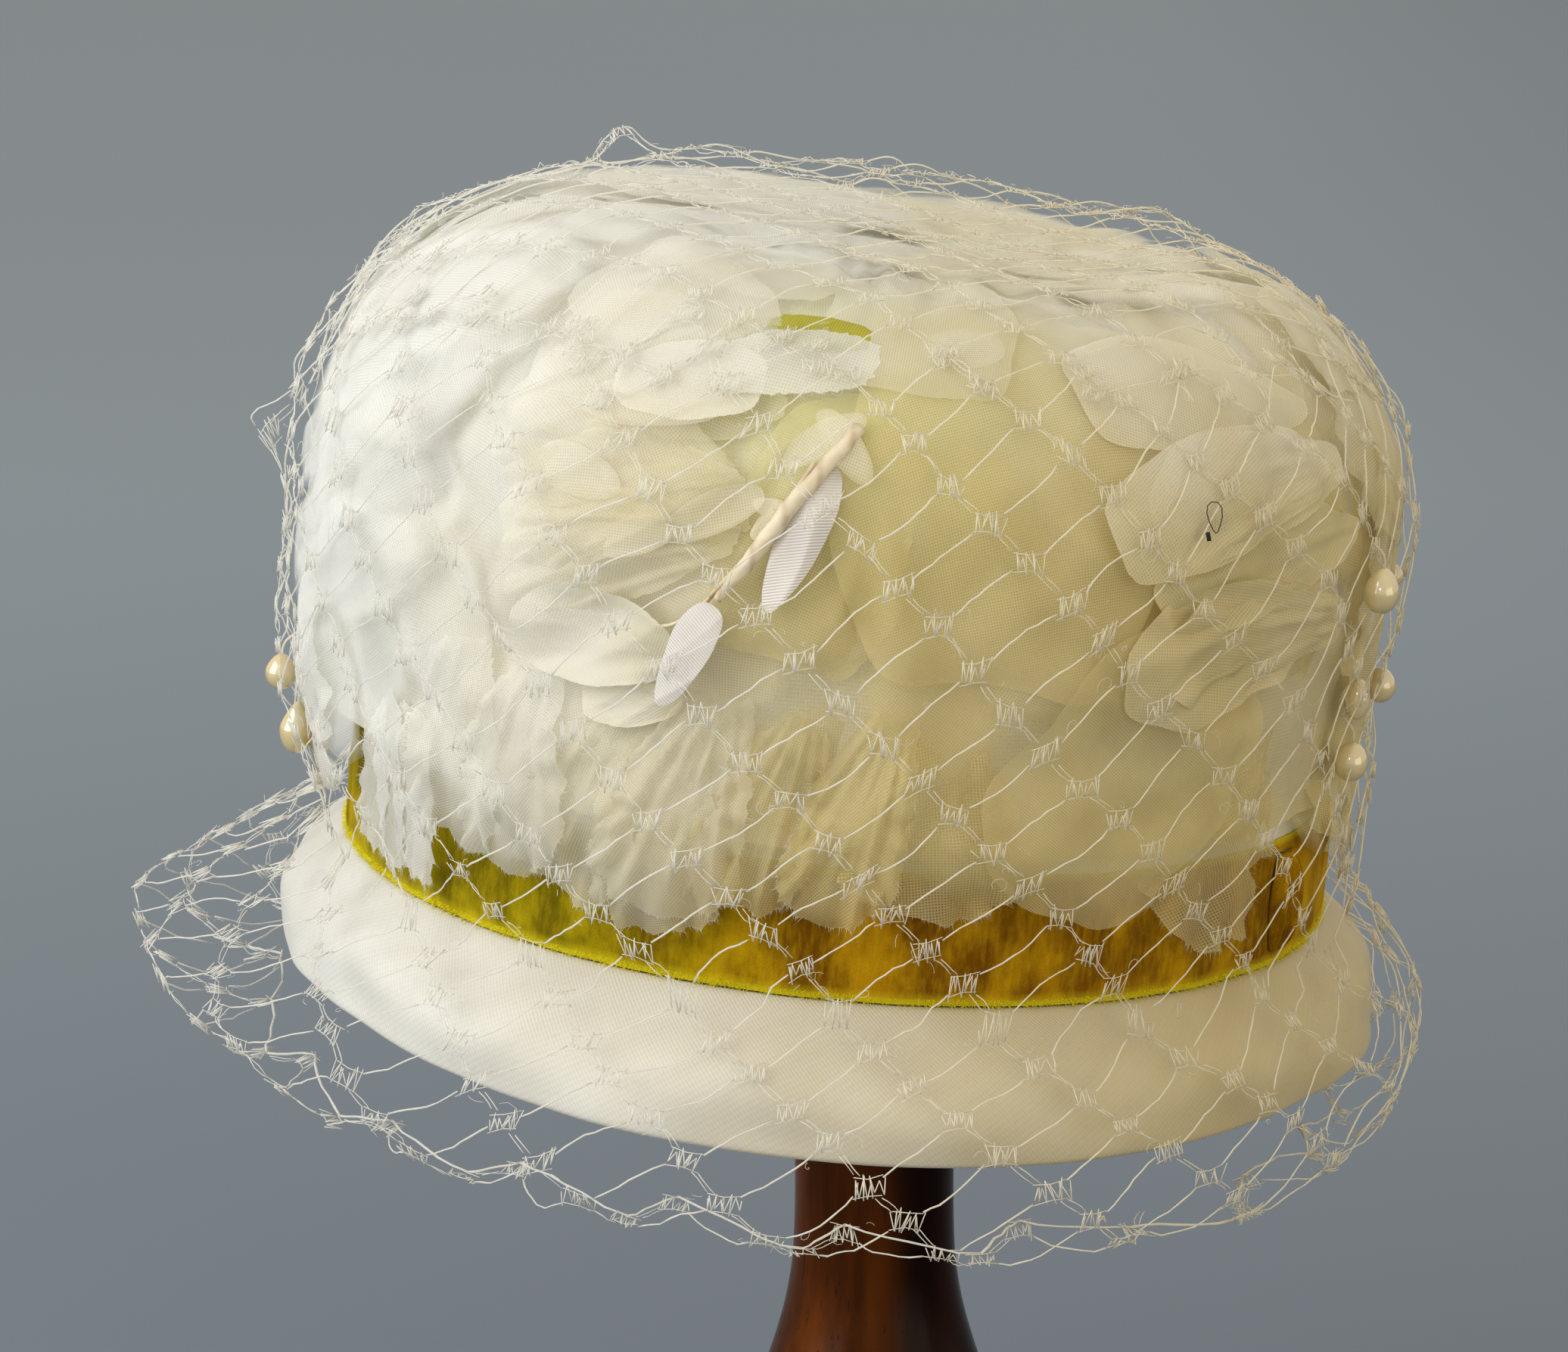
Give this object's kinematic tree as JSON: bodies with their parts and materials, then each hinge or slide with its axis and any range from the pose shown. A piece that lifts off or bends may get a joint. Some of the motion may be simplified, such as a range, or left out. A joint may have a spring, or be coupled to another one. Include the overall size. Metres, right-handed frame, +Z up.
{
  "type": "veiled cloche hat on a wooden stand",
  "caption": "Cloche hat with sheer petals over the crown, a velvet band, a turned-down satin brim, sewn pearls and a knotted net veil, held on a plain turned wooden stand.",
  "frame": {"origin": "centre of the flat underside of the stand's foot", "axes": "+Z up along the stand, -Y towards the front of the hat, +X to the right as seen from the front"},
  "size_m": [0.2524, 0.2475, 0.3235],
  "materials": {
    "petals": "sheer ivory organza with a visible plain weave",
    "satin": "ivory satin twill, softly lustrous",
    "velvet": "olive to golden brown cotton velvet",
    "felt": "matte ivory felt",
    "paper": "paper-wrapped wire and stiffened satin leaves",
    "pearl": "cream pearl coating, glossy",
    "net": "off-white twisted thread, knotted",
    "dark_wood": "dark brown turned wood, polished"
  },
  "bodies": {
    "root": {"band_knot": "velvet", "brim": "satin", "crown_shell": "felt", "pearl_left_drop": "pearl", "pearl_left_upper": "pearl", "pearl_right_long": "pearl", "pearl_right_low": "pearl", "pearl_right_middle": "pearl", "pearl_right_rear": "pearl", "pearl_right_top": "pearl", "petal_back_high_left": "petals", "petal_back_high_middle": "petals", "petal_back_high_right": "petals", "petal_back_low_left": "petals", "petal_back_low_middle": "petals", "petal_back_low_right": "petals", "petal_bud": "petals", "petal_centre_fold": "petals", "petal_disc_right": "petals", "petal_drooping": "petals", "petal_fan_high": "petals", "petal_fan_low": "petals", "petal_fan_middle": "petals", "petal_flap_right": "petals", "petal_hem_green": "petals", "petal_hem_right": "petals", "petal_low_left": "petals", "petal_lower_right": "petals", "petal_middle_right": "petals", "petal_ruffle_left": "petals", "petal_ruffle_middle": "petals", "petal_ruffle_right": "petals", "petal_satin_lower": "petals", "petal_satin_upper": "petals", "petal_side_high_left": "petals", "petal_side_low_left": "petals", "petal_side_low_right": "petals", "petal_skirt_right": "petals", "petal_spoon_right": "petals", "petal_strip": "petals", "petal_top_back_left": "petals", "petal_top_back_right": "petals", "petal_top_front_left": "petals", "petal_top_front_right": "petals", "petal_upper_right": "petals", "petal_white_inner": "petals", "petal_white_outer": "petals", "spray_leaf_lower": "paper", "spray_leaf_upper": "paper", "spray_stem": "paper", "stand_foot": "dark_wood", "stand_head": "dark_wood", "stand_stem": "dark_wood", "under_petals": "petals", "veil": "net", "velvet_band": "velvet"}
  },
  "joints": []
}
